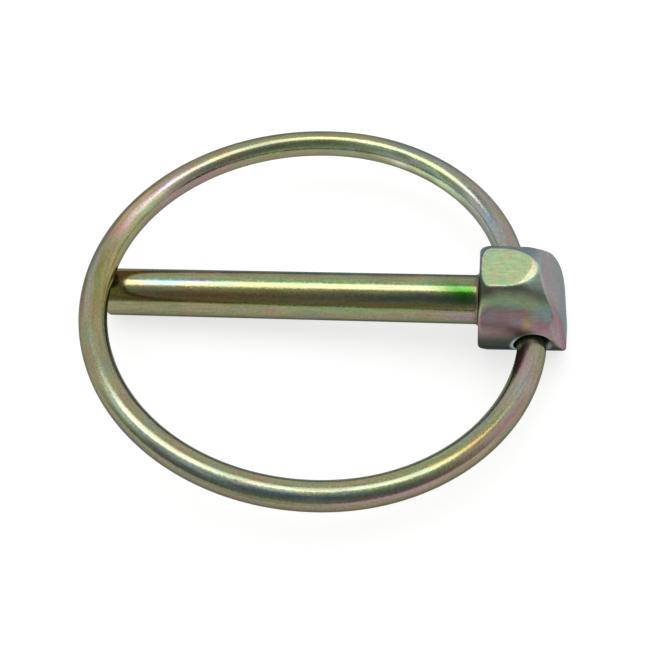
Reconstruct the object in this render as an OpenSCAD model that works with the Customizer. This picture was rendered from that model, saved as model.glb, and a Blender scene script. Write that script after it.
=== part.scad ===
// Lynch pin: a headed pin whose sprung wire ring is hinged in the head and snaps
// down over the shank.
// X runs along the pin, towards the head's outer end. The origin is on the shank's
// axis, at the head's shoulder, and Z is square to the head's two flats.

/* [Shank] */
// Diameter of the shank
shank_d = 4.5; // [3.5:0.1:6]
// Length of the shank, from the shoulder to the tip
shank_len = 35.6; // [32:0.1:45]
// Chamfer around the tip
tip_chamfer = 0.6; // [0.2:0.05:1]
// Fillet in the corner between shank and shoulder
root_fillet = 0.35; // [0.1:0.05:0.6]

/* [Head] */
// Diameter of the round head
head_d = 9.4; // [9:0.1:11]
// Length of the head along the pin
head_len = 8.1; // [7.6:0.1:10]
// Height of the head's middle above the shank's axis
head_rise = 0.3; // [0:0.05:0.5]
// Distance across the two flats
across_flats = 8.3; // [7.6:0.1:8.6]
// Rounding around the shoulder's edge
shoulder_round = 0.45; // [0.2:0.05:1]
// Radius of the curved face on the outer end
end_curve_r = 10; // [9:0.1:14]
// Lean of the outer end where it meets the top flat
end_lean = 30; // [10:1:35]
// Height above the bottom flat at which the outer end is at its longest
end_crest = 0.65; // [0:0.05:1.5]
// Roll of the outer end's curved face about the pin
end_roll = 7.5; // [0:0.5:12]

/* [Bore for the ring] */
// Distance from the shoulder to the middle of the bore
bore_from_shoulder = 3.8; // [3.4:0.1:4.6]
// Distance of the bore below the shank's axis, towards the ring's open side
bore_drop = 0.7; // [0:0.1:1.2]
// Skew of the bore in plan, which twists the ring as it opens and makes it snap
bore_skew = 10.5; // [0:0.5:15]
// Gap all round between wire and bore
bore_clearance = 0.1; // [0.05:0.01:0.1]

/* [Ring] */
// Diameter of the ring's wire
wire_d = 2.54; // [2:0.02:3]
// Outside diameter of the ring
ring_d = 44; // [40:0.5:50]
// Sideways offset of the ring's middle from the pin's axis
ring_offset = 1; // [0:0.1:2]
// Length of shank past the middle of the wire that lies across it
tip_past_wire = 0.8; // [0.2:0.1:3]
// Gap between the closed ring and the shank
closed_gap = 0.1; // [0.05:0.01:0.3]
// Gap between the wire's two ends, in the middle of the bore
end_gap = 1; // [0.4:0.1:2]
// Chamfer on the wire's ends
wire_chamfer = 0.2; // [0.1:0.05:0.4]
// Distance from the middle of the bore to the bends outside its mouths
bend_distance = 5.05; // [5:0.05:6]
// Radius of the inward bend at the front mouth
front_bend_r = 3; // [2:0.5:6]
// Radius of the slight bend outside the back mouth
back_bend_r = 12; // [6:1:14]
// Angle round the ring at which the tighter front arm starts
front_arm_angle = 80; // [70:1:90]
// Angle round the ring at which the tighter back arm starts
back_arm_angle = 90; // [80:1:95]

/* [Hidden] */
$fn = 48;
FRONT = -1;
BACK = 1;
shank_r = shank_d / 2;
head_r = head_d / 2;
flat_z = across_flats / 2;
wire_r = wire_d / 2;
ring_r = ring_d / 2 - wire_r;
bore_r = wire_r + bore_clearance;
// Each joint between two stretches of wire is a thin disc, a hair larger than the
// wire, over a slit between the stretches
joint_swell = 0.004;
joint_slit = 0.01;
joint_thick = 0.06;
// How far the straight lean of the head's end starts inside its curve
lean_inset = 0.002;
// A length that passes right through the head in any direction
through = 2 * (head_d + head_len);

// The ring's plane holds the bore's axis and rises to clear the shank near its tip
cross_distance = bore_from_shoulder + shank_len - tip_past_wire;
cross_rise = bore_drop + shank_r + wire_r + closed_gap;
ring_tilt = atan(cross_rise / cross_distance);
// In that plane the origin is the middle of the bore, and X runs towards the head's end
ring_reach = cross_distance / cos(ring_tilt);
ring_c = [sqrt(ring_r * ring_r - ring_offset * ring_offset) - ring_reach, -ring_offset];
inward = -[cos(bore_skew), sin(bore_skew)];

function unit(a) = [cos(a), sin(a)];
function heading(v) = atan2(v.y, v.x);
// Direction along the bore, out of the mouth on one side
function along_bore(side) = side * [-sin(bore_skew), cos(bore_skew)];
// Each arm is an arc from the bend to the ring's circle, which it meets at angle a
function arm_r(side, a) =
    let (w = ring_c - bend_distance * along_bore(side), s = w * unit(a))
    (w * w + 2 * ring_r * s + ring_r * ring_r) / (2 * (s + ring_r));
function arm_c(side, a) = ring_c + (ring_r - arm_r(side, a)) * unit(a);
// Each bend is an arc that touches both the bore's axis and the arm
function bend_start(side, a, r) =
    let (q = r * inward - arm_c(side, a), s = q * along_bore(side))
    sqrt(s * s - q * q + pow(arm_r(side, a) - r, 2)) - s;
function bend_c(side, a, r) = bend_start(side, a, r) * along_bore(side) + r * inward;

// Half the outline of the shank: the tip at the bottom, and the shoulder at height 0
module shank_outline() {
    sunk = bore_from_shoulder / 2;
    polygon([
        [0, -shank_len],
        [shank_r - tip_chamfer, -shank_len],
        [shank_r, tip_chamfer - shank_len],
        [shank_r, sunk],
        [0, sunk]
    ]);
    difference() {
        translate([0, -root_fillet]) square([shank_r + root_fillet, root_fillet + sunk / 2]);
        translate([shank_r + root_fillet, -root_fillet]) circle(root_fillet);
    }
}

// Half the outline of the round head, with its shoulder's edge rounded
module head_outline() {
    square([head_r - shoulder_round, head_len]);
    translate([0, shoulder_round]) square([head_r, head_len - shoulder_round]);
    translate([head_r - shoulder_round, shoulder_round]) circle(shoulder_round);
}

// The head's outer end from the side: upright below its crest, then a curve, then
// a straight lean up past the top flat, which starts a hair inside the curve
module head_side() {
    crest_z = end_crest - flat_z;
    lean_z = end_curve_r * sin(end_lean);
    lean_x = end_curve_r * cos(end_lean) - lean_inset;
    translate([head_len - end_curve_r, crest_z]) {
        intersection() {
            circle(end_curve_r);
            translate([-end_curve_r, 0]) square([2 * end_curve_r, lean_z + 1]);
        }
        polygon([
            [-end_curve_r, lean_z / 2],
            [lean_x + lean_z / 2 * tan(end_lean) - 1, lean_z / 2],
            [lean_x, lean_z],
            [lean_x - head_d * tan(end_lean), lean_z + head_d],
            [-end_curve_r, lean_z + head_d]
        ]);
    }
    translate([head_len - 2 * end_curve_r, -head_d])
        square([2 * end_curve_r, head_d + crest_z]);
}

// A lathed blank, cut off by the two flats and by the face of the outer end
module head_blank() {
    intersection() {
        rotate([0, 90, 0]) rotate_extrude() head_outline();
        translate([-through / 2, -through / 2, -flat_z]) cube([through, through, across_flats]);
        rotate([90 - end_roll, 0, 0]) linear_extrude(through, center = true) head_side();
    }
}

// Puts the ring's plane in its place
module in_ring_plane() {
    translate([bore_from_shoulder, 0, -bore_drop])
        rotate([0, ring_tilt, 0])
            children();
}

// Turns Z along the bore, out of the mouth on one side
module along(side) {
    rotate([0, 0, bore_skew]) rotate([-side * 90, 0, 0]) children();
}

module bore() {
    in_ring_plane() along(BACK) cylinder(h = through, r = bore_r, center = true);
}

module pin() {
    color([0.62, 0.64, 0.45])
        difference() {
            union() {
                rotate([0, 90, 0]) rotate_extrude() shank_outline();
                translate([0, 0, head_rise]) head_blank();
            }
            bore();
        }
}

// A stretch of wire bent round centre c, between two angles, with its ends held
// back by the small slit that a joint's disc fills
module wire_arc(c, r, a0, a1) {
    slit = asin(joint_slit / r);
    translate([c.x, c.y, 0])
        rotate([0, 0, min(a0, a1) + slit])
            rotate_extrude(angle = abs(a1 - a0) - 2 * slit)
                translate([r, 0])
                    circle(wire_r);
}

// The disc that joins two stretches of wire where their radius lies at angle a
module wire_joint(p, a) {
    translate([p.x, p.y, 0])
        rotate([90, 0, a])
            cylinder(h = joint_thick, r = wire_r + joint_swell, center = true);
}

// The wire from its end in the bore, round the bend and along the arm to angle a
module wire_side(side, a, r) {
    start = bend_start(side, a, r);
    bend = bend_c(side, a, r);
    arm = arm_c(side, a);
    arm_turn = arm_r(side, a);
    turn = heading(bend - arm);
    along(side) translate([0, 0, end_gap / 2]) {
        cylinder(h = wire_chamfer, r1 = wire_r - wire_chamfer, r2 = wire_r);
        translate([0, 0, wire_chamfer])
            cylinder(h = start - end_gap / 2 - wire_chamfer - joint_slit, r = wire_r);
    }
    wire_joint(start * along_bore(side), bore_skew);
    wire_arc(bend, r, bore_skew, turn);
    wire_joint(arm + arm_turn * unit(turn), turn);
    wire_arc(arm, arm_turn, turn, a);
    wire_joint(arm + arm_turn * unit(a), a);
}

module spring_ring() {
    color([0.55, 0.58, 0.44])
        in_ring_plane() {
            wire_side(FRONT, -front_arm_angle, front_bend_r);
            wire_side(BACK, back_arm_angle, back_bend_r);
            wire_arc(ring_c, ring_r, back_arm_angle, 360 - front_arm_angle);
        }
}

pin();
spring_ring();
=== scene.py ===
import math

import bpy
import numpy as np
from mathutils import Matrix, Vector


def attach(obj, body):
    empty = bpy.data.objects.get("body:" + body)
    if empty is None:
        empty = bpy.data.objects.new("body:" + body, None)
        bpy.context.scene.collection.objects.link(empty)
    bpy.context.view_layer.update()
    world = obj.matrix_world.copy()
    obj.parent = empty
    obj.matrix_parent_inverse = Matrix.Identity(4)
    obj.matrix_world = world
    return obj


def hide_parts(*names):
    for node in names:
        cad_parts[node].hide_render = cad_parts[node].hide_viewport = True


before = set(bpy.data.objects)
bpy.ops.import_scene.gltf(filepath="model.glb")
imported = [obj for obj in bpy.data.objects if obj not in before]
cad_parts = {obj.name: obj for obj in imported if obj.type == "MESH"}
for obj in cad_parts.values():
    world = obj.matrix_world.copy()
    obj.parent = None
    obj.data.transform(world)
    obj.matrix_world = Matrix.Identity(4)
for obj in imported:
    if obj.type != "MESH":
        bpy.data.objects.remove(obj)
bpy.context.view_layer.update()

# %% [markdown]
# # A lynch pin with a plated, iridescent finish
# The part is two pieces: a headed pin, and a wire ring that is hinged in the head and
# snaps down over the pin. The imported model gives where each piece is. Both pieces are
# modelled again here with rounded edges, and both get a yellow zinc plating.
# All lengths below are in millimetres in the part's own frame: X runs along the pin to
# the head's outer end, Z is square to the head's flats.

# %% Values and small helpers
MM = 0.001
shank_r, shank_len, tip_chamfer = 2.25, 35.6, 0.6
head_r, head_len, head_rise, flat_z = 4.7, 8.1, 0.3, 4.15
wire_r, bore_r, ring_out_r, ring_offset = 1.27, 1.37, 22.0, 1.0
bore_x, bore_drop, bore_skew = 3.8, 0.7, math.radians(10.5)
tip_past_wire, closed_gap, end_gap, wire_chamfer = 0.8, 0.1, 1.0, 0.2
cross_run = bore_x + shank_len - tip_past_wire
cross_rise = bore_drop + shank_r + wire_r + closed_gap
ring_tilt = math.atan2(cross_rise, cross_run)
print("ring lies tilted by", round(math.degrees(ring_tilt), 2), "degrees")


def smooth(v, low, high):
    """0 below low, 1 above high, and an easy rise between."""
    t = np.clip((v - low) / (high - low), 0, 1)
    return t * t * (3 - 2 * t)


def rounded_max(a, b, r):
    """Where two faces meet, with their corner rounded to radius r."""
    inner = np.minimum(np.maximum(a, b), -r)
    return inner + np.hypot(np.maximum(a + r, 0), np.maximum(b + r, 0))


def activate(obj):
    bpy.ops.object.select_all(action="DESELECT")
    obj.select_set(True)
    bpy.context.view_layer.objects.active = obj


def coords(obj):
    v = np.empty(len(obj.data.vertices) * 3)
    obj.data.vertices.foreach_get("co", v)
    return v.reshape(-1, 3)


def set_coords(obj, v):
    obj.data.vertices.foreach_set("co", v.ravel())
    obj.data.update()


def line_mesh(name, points):
    """A chain of edges through points, as a new active object."""
    bpy.ops.object.select_all(action="DESELECT")
    mesh = bpy.data.meshes.new(name)
    mesh.from_pydata(points, [(i, i + 1) for i in range(len(points) - 1)], [])
    obj = bpy.data.objects.new(name, mesh)
    bpy.context.collection.objects.link(obj)
    activate(obj)
    return obj


# %% [markdown]
# ## The camera
# It looks down at about 50 degrees from a little to the head's side, with a slight roll,
# so that the pin runs nearly level across the picture. A long lens keeps the ring round.

# %% The camera
PIXELS = 645
target = Vector((-13.8355, -3.7401, 0.6542)) * MM
eye = Vector((0.7591, -60.3161, 70.6361)) * MM
back = (eye - target).normalized()
right = Vector((0.986756, 0.121212, -0.107794)).normalized()
up = back.cross(right)
camera = bpy.data.objects.new("camera", bpy.data.cameras.new("camera"))
bpy.context.collection.objects.link(camera)
stand = Matrix((right, up, back)).transposed()
camera.matrix_world = Matrix.Translation(eye) @ stand.to_4x4()
camera.data.lens = 56.344
camera.data.sensor_width = 36
camera.data.shift_x = -0.5 / PIXELS
camera.data.shift_y = 0.5 / PIXELS
camera.data.clip_start = 0.005
camera.data.clip_end = 5
bpy.context.scene.camera = camera
print("camera stands", round((eye - target).length / MM, 1), "mm from its target")

# %% [markdown]
# ## The pin's outline
# The shank is turned: a chamfered tip, a straight round shank, a small fillet and a
# shoulder. One half of that outline, carried on over the head, is spun round the X axis.
# The tiny hole that this leaves at each end is closed with a face of its own.
# The head's rows are spaced finely, because the head is shaped further afterwards.


# %% Half the outline, from the tip to the middle of the head's outer end
def arc(cx, cz, r, a0, a1, n):
    """Points round (cx, cz) from angle a0 to a1, in n steps."""
    return [
        (cx + r * math.cos(math.radians(a0 + (a1 - a0) * i / n)),
         cz + r * math.sin(math.radians(a0 + (a1 - a0) * i / n)))
        for i in range(n + 1)
    ]


def stretch(a, b, step):
    """Points in a straight line from a to b, about one step apart."""
    n = max(1, round(math.dist(a, b) / step))
    return [(a[0] + (b[0] - a[0]) * i / n, a[1] + (b[1] - a[1]) * i / n) for i in range(n + 1)]


tip_soft, root_fillet, fine = 0.12, 0.35, 0.085
tip_r = shank_r - tip_chamfer
soft_inset = tip_soft * 0.42
shank = [(-shank_len, 0.02), (-shank_len, 0.6 * tip_r)]
shank += arc(-shank_len + tip_soft, tip_r - soft_inset, tip_soft, 180, 135, 4)
shank += arc(-shank_len + tip_chamfer + soft_inset, shank_r - tip_soft, tip_soft, 135, 90, 4)
shank += stretch((1 - shank_len, shank_r), (-0.6, shank_r), 0.7)
shank += arc(-root_fillet, shank_r + root_fillet, root_fillet, -90, 0, 8)
shoulder_rows = stretch((0, shank_r + root_fillet), (0, head_r), fine)[1:]
side_rows = stretch((0, head_r), (head_len, head_r), fine)[1:]
end_rows = stretch((head_len, head_r), (head_len, 0.02), fine)[1:]
outline = shank + shoulder_rows + side_rows + end_rows
print("outline has", len(outline), "points,", len(shank), "of them on the shank")

# %% Spin the outline round the X axis
SIDES = 320
pin = line_mesh("zinc_pin", [(x, 0, z) for x, z in outline])
bpy.ops.object.mode_set(mode="EDIT")
bpy.ops.mesh.select_all(action="SELECT")
bpy.ops.mesh.spin(steps=SIDES, angle=2 * math.pi, center=(0, 0, 0), axis=(1, 0, 0))
bpy.ops.mesh.select_all(action="SELECT")
bpy.ops.mesh.remove_doubles(threshold=1e-5)
bpy.ops.mesh.fill_holes(sides=0)
bpy.ops.mesh.normals_make_consistent(inside=False)
bpy.ops.object.mode_set(mode="OBJECT")
print("lathed blank:", len(pin.data.vertices), "vertices")

# %% [markdown]
# ## The head's shape
# The head is a round blank pressed flat above and below, and sheared off by a leaning
# face at the outer end. Pressing makes the blank's corners fall away from the flat, so
# the flat is egg-shaped. Its surface is written as a rule that is negative inside: the
# largest of the distances to its faces, with each corner rounded. Each point of the
# blank is then pulled in, straight towards the middle, until it lies on that surface.
# Doing it this way lets the rounding change along an edge, as it does on a pressed part:
# it is crisp on the front and soft at the back.


# %% The leaning face of the outer end, in the head's own frame
END_R, END_LEAN, END_ROLL, CREST = 10.0, math.radians(30), math.radians(7.5), -3.5
SET_IN, WORN_BACK = 0.1, 0.065


def end_face(x, y, z):
    """Upright at the bottom, then a curve, then a straight lean; worn back in front."""
    across = y * math.sin(END_ROLL) + z * math.cos(END_ROLL) - CREST
    u = x - (head_len - SET_IN - END_R) + WORN_BACK * np.maximum(-y - 1, 0)
    curve = np.hypot(u, across) - END_R
    lean = u * math.cos(END_LEAN) + across * math.sin(END_LEAN) - END_R
    on_lean = across * math.cos(END_LEAN) > u * math.sin(END_LEAN)
    return np.where(across < 0, u - END_R, np.where(on_lean, lean, curve))


# %% The flat's raised and sloped parts
CRESCENT_X, CRESCENT_Y, CRESCENT_LEN, CRESCENT_SLOPE = 4.48, 0.3, 0.9, 0.07


def past_crescent(x, y):
    """How far x lies past the flat's level part, on to its sloped end."""
    front, rear = np.maximum(CRESCENT_Y - y, 0), np.maximum(y - CRESCENT_Y, 0)
    return x - CRESCENT_X + 0.4 * front**1.4 + 0.12 * rear**3.4


def flats(x, y, z):
    """The two flats, of which the upper one slopes down past its crescent."""
    slope = np.clip(past_crescent(x, y), 0, CRESCENT_LEN) * (z > 0)
    return np.abs(z) - flat_z + CRESCENT_SLOPE * slope


# %% The rule for the whole head
PRESSED_FROM, PRESSED_FALL, TAPER = 2.15, 0.065, 0.012
SIDE_SOFT, SHOULDER_SOFT = 0.05, 0.3


def head_rule(x, y, z):
    """Negative inside: the pressed round side and the flats, then the outer end, then
    the shoulder. The outer end's rounding is widest at the back and low in front."""
    front = smooth(-y, -0.5 - 2.5 * smooth(-z, 0, 2), 1.2)
    pressed = front * smooth(z, -0.5, 4.2) + (1 - front) * smooth(np.abs(z), 3.0, 4.1)
    falls = pressed * PRESSED_FALL * np.maximum(x - PRESSED_FROM, 0) ** 2
    rim = 1 - np.sqrt(1 - np.clip(1 - x, 0, 0.999) ** 2)
    falls = falls + smooth(np.abs(z), 1.5, 4.1) * rim + TAPER * x
    side = rounded_max(np.hypot(y, z) - head_r + falls, flats(x, y, z), SIDE_SOFT)
    soft = 0.12 + 1.1 * smooth(y, 0.3, 2.6) * smooth(z, 1.0, 3.0)
    low_front = smooth(-y, 1, 3) * (1 - smooth(z, 0.3, 2.6)) * smooth(z, -2.8, -0.5)
    soft = soft + 1.2 * low_front + 0.2 * (1 - smooth(z, -3.0, -1.0))
    body = rounded_max(side, end_face(x, y, z), soft)
    return rounded_max(body, -x, SHOULDER_SOFT)


# %% Pull the head's points onto that surface
ANCHOR_FROM, ANCHOR_TO, HALVINGS = 0.3, 3.2, 34
v = coords(pin)
reach = np.hypot(v[:, 1], v[:, 2])
angle = np.arctan2(v[:, 2], v[:, 1])
on_head = (v[:, 0] > -1e-4) & ((reach > shank_r + root_fillet + 1e-3) | (v[:, 0] > 0.01))
anchor_x = np.clip(v[:, 0], ANCHOR_FROM, ANCHOR_TO)
aim = np.stack([v[:, 0] - anchor_x, v[:, 1], v[:, 2]], 1)
low, high = np.zeros(len(v)), np.full(len(v), 1.02)
for _ in range(HALVINGS):
    mid = (low + high) / 2
    p = aim * mid[:, None]
    inside = head_rule(anchor_x + p[:, 0], p[:, 1], p[:, 2]) < 0
    low, high = np.where(inside, mid, low), np.where(inside, high, mid)
shaped = aim * low[:, None]
shaped[:, 0] += anchor_x
rise = np.where(v[:, 0] > 0.01, head_rise, head_rise * smooth(reach, 2.6, 4.2))
shaped[:, 2] += rise
v = np.where(on_head[:, None], shaped, v)
set_coords(pin, v)
print("head shaped:", int(on_head.sum()), "points, tallest at",
      round(float(v[:, 2].max()), 2), "mm")

# %% [markdown]
# ## The bore for the ring
# A plain cross bore, skewed in plan and tilted with the ring. Its two mouths are opened
# out a little, so that the wire can bend as soon as it leaves. The cutter is a circle
# that is extruded and resized from one mouth to the other, and is then taken away from
# the pin with a boolean.


# %% Where the bore lies
def in_ring_plane(p):
    """A point of the ring's flat plane in the part's frame."""
    x, y, z = p
    c, s = math.cos(ring_tilt), math.sin(ring_tilt)
    return Vector((bore_x + x * c + z * s, y, -bore_drop - x * s + z * c))


bore_middle = in_ring_plane((0, 0, 0))
bore_axis = (in_ring_plane((-math.sin(bore_skew), math.cos(bore_skew), 0))
             - bore_middle).normalized()

# %% Cut the bore
BORE_SIDES = 128
half = [(3.75, bore_r), (4.1, bore_r + 0.06), (4.4, bore_r + 0.18), (4.7, bore_r + 0.32),
        (6.0, bore_r + 1.2)]
steps = [(-d, r) for d, r in reversed(half)] + half
bpy.ops.object.select_all(action="DESELECT")
bpy.ops.mesh.primitive_circle_add(vertices=BORE_SIDES, radius=steps[0][1], fill_type="NGON",
                                  location=(0, 0, steps[0][0]))
cutter = bpy.context.object
bpy.ops.object.transform_apply(location=True, rotation=True, scale=True)
bpy.ops.object.mode_set(mode="EDIT")
bpy.ops.mesh.select_all(action="SELECT")
for (d0, r0), (d1, r1) in zip(steps, steps[1:]):
    bpy.ops.mesh.extrude_region_move(TRANSFORM_OT_translate={"value": (0, 0, d1 - d0)})
    bpy.ops.transform.resize(value=(r1 / r0, r1 / r0, 1), center_override=(0, 0, d1))
bpy.ops.mesh.select_all(action="SELECT")
bpy.ops.mesh.normals_make_consistent(inside=False)
bpy.ops.object.mode_set(mode="OBJECT")
cutter.matrix_world = (Matrix.Translation(bore_middle)
                       @ Vector((0, 0, 1)).rotation_difference(bore_axis).to_matrix().to_4x4())
bpy.ops.object.transform_apply(location=True, rotation=True, scale=True)
activate(pin)
cut = pin.modifiers.new("bore", "BOOLEAN")
cut.object, cut.operation, cut.solver = cutter, "DIFFERENCE", "EXACT"
bpy.ops.object.modifier_apply(modifier="bore")
bpy.data.objects.remove(cutter)
activate(pin)
bpy.ops.object.shade_smooth_by_angle(angle=math.radians(32))
print("bored pin:", len(pin.data.polygons), "faces")

# %% [markdown]
# ## The ring
# The wire is a circle carried round a path: straight in the bore, a bend outside each
# mouth, an arm that eases into the ring, and the ring itself. Every stretch is an arc
# that touches the next one, so each is one spin of the wire's end circle in the ring's
# own flat plane. The finished wire is then tilted into place.

# %% The path's arcs
ring_r = ring_out_r - wire_r
ring_c = np.array([math.sqrt(ring_r**2 - ring_offset**2)
                   - math.hypot(cross_run, cross_rise), -ring_offset])
inward = -np.array([math.cos(bore_skew), math.sin(bore_skew)])


def unit(a):
    """A step of length 1 in the direction of angle a."""
    return np.array([math.cos(a), math.sin(a)])


BEND_DISTANCE = 5.05


def side_path(side, meets, bend_r):
    """The bend and the arm on one side: where each starts, turns and ends."""
    meets = math.radians(meets)
    along = side * np.array([-math.sin(bore_skew), math.cos(bore_skew)])
    w = ring_c - BEND_DISTANCE * along
    s = w @ unit(meets)
    arm_r = (w @ w + 2 * ring_r * s + ring_r**2) / (2 * (s + ring_r))
    arm_c = ring_c + (ring_r - arm_r) * unit(meets)
    q = bend_r * inward - arm_c
    s = q @ along
    start = math.sqrt(s * s - q @ q + (arm_r - bend_r) ** 2) - s
    bend_c = start * along + bend_r * inward
    at = bend_c - arm_c
    return along, start, bend_c, bend_r, math.atan2(at[1], at[0]), arm_c, arm_r, meets


front = side_path(side=-1, meets=-80, bend_r=3.0)
back_side = side_path(side=1, meets=90, bend_r=12.0)
print("arms' radii:", round(front[6], 2), "and", round(back_side[6], 2), "mm")

# %% Carry the wire's circle round the path
WIRE_SIDES = 48
straight_from = end_gap / 2 + wire_chamfer
grow = wire_r / (wire_r - wire_chamfer)


def spin_wire(c, a0, a1, r, step=0.3):
    """Spin the selected circle round c by the turn from angle a0 to a1."""
    turn = a1 - a0
    steps = max(3, round(abs(turn) * r / step))
    bpy.ops.mesh.spin(steps=steps, angle=-turn, center=(c[0], c[1], 0), axis=(0, 0, 1))


def push_wire(step, times=1):
    """Carry the selected circle on by one straight step, so many times."""
    for _ in range(times):
        bpy.ops.mesh.extrude_region_move(TRANSFORM_OT_translate={"value": step})


def resize_wire(by, along, distance):
    """Resize the selected circle about the bore's axis, at its distance along it."""
    bpy.ops.transform.resize(value=(by, by, by), center_override=(*(along * distance), 0))


along_f, start_f, bend_cf, bend_rf, turn_f, arm_cf, arm_rf, meets_f = front
along_b, start_b, bend_cb, bend_rb, turn_b, arm_cb, arm_rb, meets_b = back_side
bpy.ops.object.select_all(action="DESELECT")
bpy.ops.mesh.primitive_circle_add(vertices=WIRE_SIDES, radius=wire_r - wire_chamfer,
                                  fill_type="NGON")
ring = bpy.context.object
ring.name = "zinc_spring_ring"
pose = Vector((0, 0, 1)).rotation_difference(Vector((*along_f, 0))).to_matrix().to_4x4()
ring.matrix_world = Matrix.Translation(Vector((*(along_f * end_gap / 2), 0))) @ pose
bpy.ops.object.transform_apply(location=True, rotation=True, scale=True)
bpy.ops.object.mode_set(mode="EDIT")
bpy.ops.mesh.select_all(action="SELECT")
outwards = Vector((*along_f, 0))
push_wire(outwards * wire_chamfer)
resize_wire(grow, along_f, straight_from)
push_wire(outwards * ((start_f - straight_from) / 10), 10)
spin_wire(bend_cf, bore_skew, turn_f, bend_rf, 0.06)
spin_wire(arm_cf, turn_f, meets_f, arm_rf)
spin_wire(ring_c, meets_f, meets_b - 2 * math.pi, ring_r)
spin_wire(arm_cb, meets_b, turn_b, arm_rb)
spin_wire(bend_cb, turn_b, bore_skew, bend_rb, 0.15)
inwards = Vector((*-along_b, 0))
push_wire(inwards * ((start_b - straight_from) / 12), 12)
push_wire(inwards * wire_chamfer)
resize_wire(1 / grow, along_b, end_gap / 2)
bpy.ops.mesh.select_all(action="SELECT")
bpy.ops.mesh.remove_doubles(threshold=1e-4)
bpy.ops.mesh.normals_make_consistent(inside=False)
bpy.ops.object.mode_set(mode="OBJECT")
flat_wire = coords(ring)
outside = np.hypot(flat_wire[:, 0] - ring_c[0], flat_wire[:, 1] - ring_c[1]).max()
print("ring:", len(flat_wire), "vertices, outside radius", round(float(outside), 2), "mm")

# %% Put the ring's plane in its place, and bring both pieces to metres
v = coords(ring)
c, s = math.cos(ring_tilt), math.sin(ring_tilt)
placed = np.stack([bore_x + v[:, 0] * c + v[:, 2] * s, v[:, 1],
                   -bore_drop - v[:, 0] * s + v[:, 2] * c], 1)
set_coords(ring, placed)
activate(ring)
bpy.ops.object.shade_smooth_by_angle(angle=math.radians(32))
for piece in (pin, ring):
    set_coords(piece, coords(piece) * MM)

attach(pin, "pin")
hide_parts("pin")
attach(ring, "ring")
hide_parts("spring_ring")
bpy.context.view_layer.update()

# %% [markdown]
# ## The plating
# Yellow-passivated zinc is a thin film, so its hue shifts with the film's depth: straw,
# olive, green, rose and a little blue. The film drains along a wire or a shank while it
# dries, so the hues lie in long streaks, each at its own place round the section. That
# is hard to get from noise alone. Here the film is laid as soft streaks of two dozen
# named hues, and kept as a colour attribute that stays with the piece when it moves.
# Noise that is stretched the same way then breaks the streaks up. The attribute's fourth
# number says how dull the metal is: the pressed head is made duller than the wire and the
# turned shank. Some streaks are painted highlights and painted shade, laid lighter or darker
# where the metal shows a highlight or a dark reflection, so they move with the piece. The
# pin's underside is laid darker as painted shade, to hold down what it mirrors of the
# bright floor, and not a thing that the plating does.

# %% The plating's hues
OLIVE, STRAW, KHAKI = (0.26, 0.25, 0.15), (0.31, 0.3, 0.12), (0.22, 0.21, 0.07)
GREEN, LEAF, MOSS_AND_SHADE = (0.21, 0.31, 0.15), (0.34, 0.43, 0.24), (0.02, 0.14, 0.01)
BROWN, UMBER_AND_SHADE, OCHRE = (0.31, 0.2, 0.08), (0.18, 0.14, 0.1), (0.45, 0.31, 0.15)
ROSE, PINK, LILAC = (0.31, 0.21, 0.23), (0.45, 0.33, 0.36), (0.64, 0.46, 0.58)
BLUE, STEEL, TEAL = (0.2, 0.26, 0.3), (0.28, 0.33, 0.34), (0.15, 0.3, 0.38)
ASH, SLATE_AND_SHADE, INK_SHADE = (0.28, 0.26, 0.25), (0.13, 0.16, 0.12), (0.07, 0.08, 0.06)
PALE, MINT, ICE_AND_LIGHT = (0.62, 0.62, 0.4), (0.5, 0.65, 0.4), (0.45, 0.58, 0.58)
PEARL, BONE_AND_HIGHLIGHT, PAINTED_HIGHLIGHT = (0.35, 0.36, 0.36), (0.47, 0.52, 0.42), (0.85, 0.93, 0.88)
DULL_SHANK, DULL_HEAD, DULL_RING = -0.05, 0.14, -0.04
UNDERSIDE_SHADE = 0.65


def normals(obj):
    """Each point's normal, as rows of an array."""
    n = np.empty(len(obj.data.vertices) * 3)
    obj.data.vertex_normals.foreach_get("vector", n)
    return n.reshape(-1, 3)


def lay(film_and_painted_light, hue, mask):
    """Lay one hue over the film, fully where mask is 1."""
    film_and_painted_light += (np.array(hue) - film_and_painted_light) * np.clip(mask, 0, 1)[:, None]


def near(v, middle, width):
    """1 at the middle, falling smoothly to 0 at that width on both sides. Degrees that
    lie on either side of 0 count as near each other."""
    return 1 - smooth(np.abs((v - middle + 180) % 360 - 180), 0, width)


def lay_patches(film_and_painted_light, along, turn, patches, pitch=1.0):
    """Lay soft streaks: middle and half-length along, middle and half-width in degrees.
    Their sides wave a little; pitch sets how fast."""
    wave = 5 * np.sin(0.9 * pitch * along) + 3 * np.sin(2.3 * pitch * along + 1)
    for hue, middle, length, at, width in patches:
        lay(film_and_painted_light, hue, near(along, middle, length) * near(turn + wave * width / 30, at, width))


def add_attributes(obj, film_and_painted_light, dull, unrolled):
    """Keep the film, its dullness and the place that the noises read on the mesh."""
    colour = obj.data.attributes.new("film_and_painted_light", "FLOAT_COLOR", "POINT")
    colour.data.foreach_set("color", np.c_[np.clip(film_and_painted_light, 0, 1), dull].ravel())
    place = obj.data.attributes.new("unrolled", "FLOAT_VECTOR", "POINT")
    place.data.foreach_set("vector", unrolled.ravel())
    print(obj.name, "film's mean hue", film_and_painted_light.mean(0).round(3))


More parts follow.
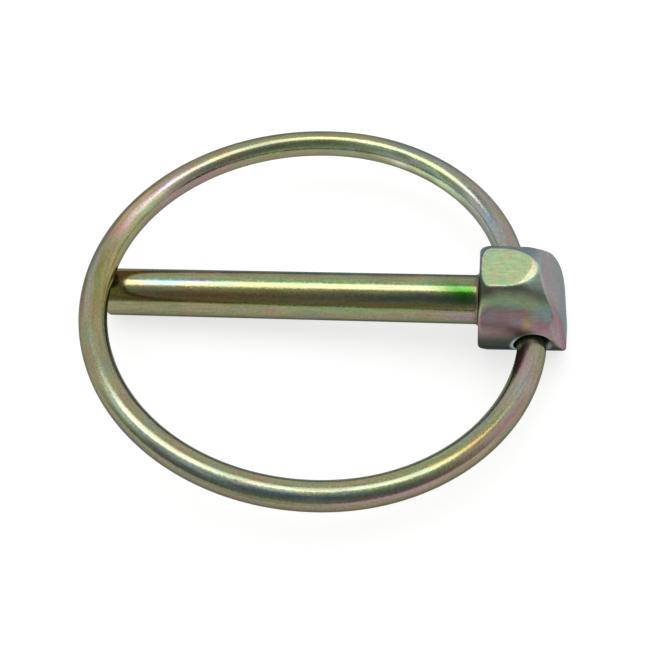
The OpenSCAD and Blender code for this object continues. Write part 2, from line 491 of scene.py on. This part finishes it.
# %% The film on the pin's shank
v, n = coords(pin) / MM, normals(pin)
x = v[:, 0]
on_head = smooth(x, -0.05, 0.05)
turn = np.degrees(np.arctan2(n[:, 2], n[:, 1])) % 360
film_and_painted_light = np.tile(OLIVE, (len(v), 1)).astype(float)
# Painted shade: the slate streaks dim the shank's reflections, and the moss streak beside the
# head is the film's green and also painted shade that dims the highlight there.
lay_patches(film_and_painted_light, x, turn, [
    (SLATE_AND_SHADE, -18, 60, 58, 22), (GREEN, -20, 60, 95, 14), (BLUE, -28, 8, 102, 14),
    (STRAW, -20, 16, 118, 16), (BROWN, -25, 12, 136, 14), (BROWN, -34, 4, 90, 60),
    (STRAW, -34, 4, 130, 30), (SLATE_AND_SHADE, -3, 13, 130, 18), (MOSS_AND_SHADE, -1.4, 3.6, 108, 46),
    (KHAKI, -24, 30, 149, 11), (KHAKI, -9, 18, 151, 12), (GREEN, -10, 14, 162, 10),
    (ROSE, -1, 4, 170, 24)])
lay(film_and_painted_light, UMBER_AND_SHADE, near(x, -0.1, 0.5) * (1 - on_head))

# %% The film on the head: the round side, then the leaning end, the flat and its rim
# The head's base hue is painted shade: it stays dark on the underside and the lower front.
head = np.tile(INK_SHADE, (len(v), 1)).astype(float)
lay(head, BLUE, near(turn, 40, 100))
# Bands by turn, partly film hues and partly painted reflections: the dark band at 118 is painted
# shade, the light bands from 136 to 148 are painted highlight, and the rose band below is partly
# painted light.
for hue, at, width in ((INK_SHADE, 118, 22), (MINT, 136, 17), (PINK, 148, 14), (ROSE, 163, 24)):
    lay(head, hue, near(turn, at, width))
lay_patches(head, x, turn, [
    (INK_SHADE, 0.6, 1.2, 124, 12), (OCHRE, 4.1, 0.7, 152, 18), (ICE_AND_LIGHT, 5.7, 2.0, 138, 13),
    (ROSE, 5.6, 2.0, 160, 22)])
leans = smooth(n[:, 0], 0.3, 0.55) * (x > 3)
rearward = n[:, 1] * math.cos(math.radians(50)) + n[:, 2] * math.sin(math.radians(50))
lay(head, BLUE, smooth(x, 3.6, 5.2) * smooth(rearward, 0.28, 0.42))
# Painted shade: dark where the leaning corner would mirror the overhead light.
lay(head, SLATE_AND_SHADE, near(x, 5.4, 2.2) * near(turn, 112, 26))
lay(head, PEARL, leans)
lay(head, PINK, 0.3 * leans * near(v[:, 2], 2.6, 1.6))
lay(head, ROSE, leans * near(v[:, 1], -3.6, 2.0))
lay(head, STEEL, leans * smooth(n[:, 0], 0.9, 0.99))
level = smooth(n[:, 2], 0.975, 0.992) * (v[:, 2] > 0)
lay(head, LEAF, level)
lay(head, STEEL, 0.4 * level * near(x, 0.3, 1.6) * smooth(v[:, 1], -0.5, 1.5))
lay(head, GREEN, 0.3 * level * near(x, 0.6, 2.2) * smooth(-v[:, 1], 0.3, 1.8))
sloped = past_crescent(x, v[:, 1])
# Partly painted highlight: the sloped crescent is laid pale, as well as sloping.
lay(head, PALE, level * smooth(sloped, 0.0, 0.1))
# Painted highlight: the flat's back rim is laid pale.
on_rim = smooth(n[:, 2], 0.9, 0.95) * (1 - smooth(n[:, 2], 0.98, 0.995)) * (v[:, 2] > 4.2)
lay(head, BONE_AND_HIGHLIGHT, on_rim * smooth(v[:, 1], -1.0, 0.6))
lay(film_and_painted_light, (0, 0, 0), on_head)
film_and_painted_light += head * on_head[:, None]
# Painted light: the bore's walls are laid pale to lift the shade inside the bore.
in_bore = np.linalg.norm(np.cross(v - np.array(bore_middle), np.array(bore_axis)), axis=1)
lay(film_and_painted_light, ICE_AND_LIGHT, (1 - smooth(in_bore, 1.6, 1.9)) * on_head * (np.abs(v[:, 2]) < 3))
# Painted shade: the pin's underside is laid darker, except in the bore.
underside_shade = smooth(-n[:, 2], 0.2, 0.55) * np.where(on_head > 0, smooth(in_bore, 1.5, 1.8), 1)
film_and_painted_light *= 1 - UNDERSIDE_SHADE * underside_shade[:, None]
dull = (DULL_HEAD - DULL_SHANK) * on_head + DULL_SHANK
# The material draws its noises out along X; on the head this takes that back
add_attributes(pin, film_and_painted_light, dull, v * np.c_[1 + 3 * on_head, np.ones((len(v), 2))])

# %% The film on the ring, with each point's place unrolled along the wire
v, n = coords(ring) / MM, normals(ring)
plane_up = np.array([math.sin(ring_tilt), 0, math.cos(ring_tilt)])
plane_x = np.array([math.cos(ring_tilt), 0, -math.sin(ring_tilt)])
middle = np.array(in_ring_plane((ring_c[0], ring_c[1], 0)))
flat_x, flat_y = (v - middle) @ plane_x, v[:, 1] - middle[1]
round_ring = np.degrees(np.arctan2(flat_y, flat_x)) % 360
outward = (flat_x[:, None] * plane_x + flat_y[:, None] * np.array([0, 1, 0])) / \
    np.hypot(flat_x, flat_y)[:, None]
turn = np.degrees(np.arctan2(n @ plane_up, (n * outward).sum(1))) % 360
film_and_painted_light = np.tile(OLIVE, (len(v), 1))
# Painted shade: the wire's outer side is laid darker, as a dark rim.
lay(film_and_painted_light, UMBER_AND_SHADE, 0.7 * near(turn, -4, 36))
# Among these streaks the slate ones are painted shade along the wire's dark reflection bands,
# and the bone ones and the nearly white one are painted highlights; the other streaks are film
# hues, some of which also lift or dim the wire's reflections.
lay_patches(film_and_painted_light, round_ring, turn, [
    (ASH, 36, 34, 100, 80), (ROSE, 34, 16, 118, 30), (BLUE, 66, 20, 84, 24),
    (PEARL, 42, 20, 150, 26), (STEEL, 30, 30, 186, 30), (MINT, 62, 26, 160, 36),
    (ASH, 80, 16, 130, 14), (SLATE_AND_SHADE, 98, 26, 122, 14), (LEAF, 104, 40, 150, 20),
    (STRAW, 98, 20, 108, 10), (SLATE_AND_SHADE, 70, 26, 72, 16), (SLATE_AND_SHADE, 110, 40, 72, 18),
    (OLIVE, 116, 14, 108, 14), (ROSE, 140, 30, 178, 24), (ASH, 140, 26, 150, 20),
    (PINK, 148, 20, 118, 22), (ROSE, 150, 18, 92, 18), (UMBER_AND_SHADE, 158, 30, 66, 20),
    (ASH, 166, 26, 84, 16), (OLIVE, 170, 24, 130, 22), (KHAKI, 184, 26, 104, 24),
    (KHAKI, 186, 16, 140, 30), (UMBER_AND_SHADE, 184, 22, 48, 16), (ASH, 186, 18, 72, 14),
    (SLATE_AND_SHADE, 216, 16, 78, 10), (BONE_AND_HIGHLIGHT, 226, 16, 68, 12), (SLATE_AND_SHADE, 262, 56, 87, 11),
    (BONE_AND_HIGHLIGHT, 262, 54, 70, 10), (TEAL, 264, 50, 55, 14), (GREEN, 268, 44, 37, 10),
    (SLATE_AND_SHADE, 262, 40, 26, 8), (ASH, 244, 14, 33, 10), (ICE_AND_LIGHT, 250, 14, 57, 12),
    (BLUE, 250, 70, 142, 22), (ROSE, 292, 26, 32, 22), (GREEN, 292, 14, 66, 12),
    (KHAKI, 312, 18, 84, 18), (ROSE, 322, 20, 52, 22), (GREEN, 304, 16, 112, 18),
    (BLUE, 318, 16, 124, 18), (ASH, 338, 18, 96, 70), (LEAF, 84, 26, 130, 20),
    (MINT, 80, 18, 142, 30), (PAINTED_HIGHLIGHT, 68, 18, 150, 30), (GREEN, 59, 14, 128, 15),
    (MINT, 62, 14, 164, 26), (STEEL, 34, 22, 130, 40), (SLATE_AND_SHADE, 43, 15, 110, 14),
    (SLATE_AND_SHADE, 116, 13, 113, 9), (GREEN, 106, 22, 132, 12), (OCHRE, 158, 20, 90, 20),
    (LILAC, 156, 19, 109, 15), (PALE, 155, 19, 124, 16), (LEAF, 160, 20, 142, 16),
    (STRAW, 179, 26, 150, 34), (MINT, 229, 11, 55, 10)], pitch=0.36)
angle = np.radians(turn)
unrolled = np.c_[np.radians(round_ring) * ring_r, wire_r * np.cos(angle), wire_r * np.sin(angle)]
add_attributes(ring, film_and_painted_light, np.full(len(v), DULL_RING), unrolled)


# %% A small kit for building node trees
class Nodes:
    """Adds nodes to a material or a world, with their inputs linked or set."""

    def __init__(self, material):
        self.tree = material.node_tree
        self.tree.nodes.clear()

    def add(self, kind, inputs=None, **settings):
        node = self.tree.nodes.new("ShaderNode" + kind)
        for key, value in settings.items():
            setattr(node, key, value)
        for key, value in (inputs or {}).items():
            if isinstance(value, bpy.types.NodeSocket):
                self.tree.links.new(value, node.inputs[key])
            else:
                node.inputs[key].default_value = value
        return node

    def ramp(self, value, stops, mode="LINEAR"):
        node = self.add("ValToRGB", {"Fac": value})
        node.color_ramp.interpolation = mode
        items = node.color_ramp.elements
        while len(items) < len(stops):
            items.new(0.5)
        for item, (at, colour) in zip(items, stops):
            item.position = at
            item.color = (*colour, 1)
        return node.outputs["Color"]

    def times(self, a, b):
        return self.add("Mix", {"Factor": 1.0, 6: a, 7: b},
                        data_type="RGBA", blend_type="MULTIPLY").outputs[2]


# %% [markdown]
# ## The material
# The film attribute gives the broad hues, together with the painted highlights and painted
# shade that are laid into it. Four noises work on it, all read from the unrolled place:
# long streaks that tint it, finer drawn lines that fade it, a mottle of small crystals, and
# a few pale scuffs. The mottle also moves the roughness and a very shallow bump. A piece
# in a white room would get pale edges, because any metal mirrors most where it turns away.
# The shader's own Specular Tint sets how much it mirrors there, and a low one keeps the
# edges dark from every side.

# %% The zinc material
def zinc(name, seed):
    material = bpy.data.materials.new(name)
    material.use_nodes = True
    t = Nodes(material)
    painted = t.add("Attribute", attribute_name="film_and_painted_light").outputs
    place = t.add("Attribute", attribute_name="unrolled").outputs["Vector"]
    long_way = t.add("Mapping", {"Vector": place, "Location": (seed, seed, seed),
                                 "Scale": (0.22, 1, 1)}).outputs["Vector"]
    drawn = t.add("Mapping", {"Vector": place, "Location": (seed, 0, seed),
                              "Scale": (0.06, 1, 1)}).outputs["Vector"]
    streaks = t.add("TexNoise", {"Vector": long_way, "Scale": 1.3, "Detail": 4.0}).outputs["Fac"]
    lines = t.add("TexNoise", {"Vector": drawn, "Scale": 5.0, "Detail": 3.0}).outputs["Fac"]
    grain = t.add("TexNoise", {"Vector": place, "Scale": 5.5, "Detail": 4.0}).outputs["Fac"]
    tint = t.ramp(streaks, [(0.3, (1.16, 0.86, 0.98)), (0.43, (1.05, 0.99, 0.97)),
                            (0.55, (0.97, 1.01, 0.9)), (0.68, (0.86, 0.99, 1.2))])
    fades = t.ramp(lines, [(0.3, (0.86, 0.86, 0.86)), (0.7, (1.12, 1.12, 1.12))])
    mottle = t.ramp(grain, [(0.3, (0.8, 0.82, 0.84)), (0.7, (1.16, 1.15, 1.12))])
    rare = t.add("TexNoise", {"Vector": long_way, "Scale": 9.0, "Detail": 2.0}).outputs["Fac"]
    scuffs = t.ramp(rare, [(0.72, (1, 1, 1)), (0.79, (1.35, 1.35, 1.4))])
    colour = painted["Color"]
    for layer in (tint, fades, mottle, scuffs):
        colour = t.times(colour, layer)
    rough = t.add("MapRange", {"Value": grain, "From Min": 0.3, "From Max": 0.7,
                               "To Min": 0.18, "To Max": 0.28}).outputs[0]
    rough = t.add("Math", {0: rough, 1: painted["Alpha"]}, operation="ADD").outputs[0]
    bump = t.add("Bump", {"Height": grain, "Strength": 0.2, "Distance": 0.00003}).outputs[0]
    surface = t.add("BsdfPrincipled", {"Base Color": colour, "Metallic": 1.0,
                                       "Specular Tint": (0.42, 0.44, 0.47, 1),
                                       "Roughness": rough, "Normal": bump}).outputs[0]
    t.add("OutputMaterial", {"Surface": surface})
    return material


for piece, look, seed in ((pin, "pin_zinc", 3.0), (ring, "ring_zinc", 11.0)):
    piece.data.materials.clear()
    piece.data.materials.append(zinc(look, seed))

# %% [markdown]
# ## Floor and light
# The pin rests on its head's lower flat and on its tip, so the floor under it slopes by
# a few degrees in the part's frame. It is a plain white sheet, so wide that no edge of it
# is seen or mirrored, and it looks lighter to the eye and in the metal than the light
# that it throws back on to the pin. Above hangs a broad soft light, which gives the flat
# and the top of the shank their bright band. The room's walls are dim on one side and
# bright on the other, and white at their foot, where they meet the floor.

# %% The floor
rest_a = Vector((0.2, 0, head_rise - flat_z))
rest_b = Vector((0.4 - shank_len, 0, -shank_r))
slope = math.atan2(rest_b.z - rest_a.z, rest_a.x - rest_b.x)
FLOOR_METRES = 30
bpy.ops.mesh.primitive_plane_add(size=FLOOR_METRES, location=rest_a * MM, rotation=(0, slope, 0))
floor = bpy.context.object
floor.name = "floor"
paper = bpy.data.materials.new("paper")
paper.use_nodes = True
t = Nodes(paper)
plain = t.add("BsdfPrincipled", {"Base Color": (0.76, 0.76, 0.76, 1), "Roughness": 0.9,
                                 "Specular IOR Level": 0.1}).outputs[0]
lifted = t.add("BsdfPrincipled", {"Base Color": (0.5, 0.5, 0.5, 1), "Roughness": 0.9,
                                  "Specular IOR Level": 0.1, "Emission Color": (1, 1, 1, 1),
                                  "Emission Strength": 0.72}).outputs[0]
path = t.add("LightPath").outputs
seen = t.add("Math", {0: path["Is Camera Ray"], 1: path["Is Glossy Ray"]},
             operation="MAXIMUM").outputs[0]
seen = t.add("Math", {0: seen, 1: path["Is Transmission Ray"]}, operation="MAXIMUM").outputs[0]
surface = t.add("MixShader", {0: seen, 1: plain, 2: lifted}).outputs[0]
t.add("OutputMaterial", {"Surface": surface})
floor.data.materials.append(paper)

# %% The lights
wide, deep, bright = 260 * MM, 92 * MM, 3.4
data = bpy.data.lights.new("strip", "AREA")
data.shape, data.size, data.size_y = "RECTANGLE", wide, deep
data.energy = bright * math.pi * wide * deep
strip = bpy.data.objects.new("strip", data)
bpy.context.collection.objects.link(strip)
strip.location = Vector((-20, 30, 200)) * MM
strip.rotation_euler = (math.radians(-9), 0, 0)
strip.visible_diffuse = False

world = bpy.data.worlds.new("room")
bpy.context.scene.world = world
world.use_nodes = True
t = Nodes(world)
toward = t.add("TexCoord").outputs["Object"]
axes = t.add("SeparateXYZ", {0: toward}).outputs
share = t.add("MapRange", {"Value": axes["Y"], "From Min": -1.0, "From Max": 1.0}).outputs[0]
walls = t.ramp(share, [(0.0, (0.45,) * 3), (0.03, (0.36,) * 3), (0.1, (0.26,) * 3),
                       (0.2, (0.26,) * 3), (0.3, (0.4,) * 3), (0.4, (0.6,) * 3),
                       (0.5, (0.95,) * 3), (0.6, (1.05,) * 3)])
foot = t.add("MapRange", {"Value": axes["Z"], "From Min": 0.04, "From Max": 0.07,
                          "To Min": 1.0, "To Max": 0.0}).outputs[0]
room = t.add("Mix", {"Factor": foot, 6: walls, 7: (1.05, 1.05, 1.05, 1)},
             data_type="RGBA").outputs[2]
ground = t.add("Background", {"Color": room, "Strength": 1.0}).outputs[0]
t.add("OutputWorld", {"Surface": ground})
bpy.context.scene.view_settings.view_transform = "Standard"
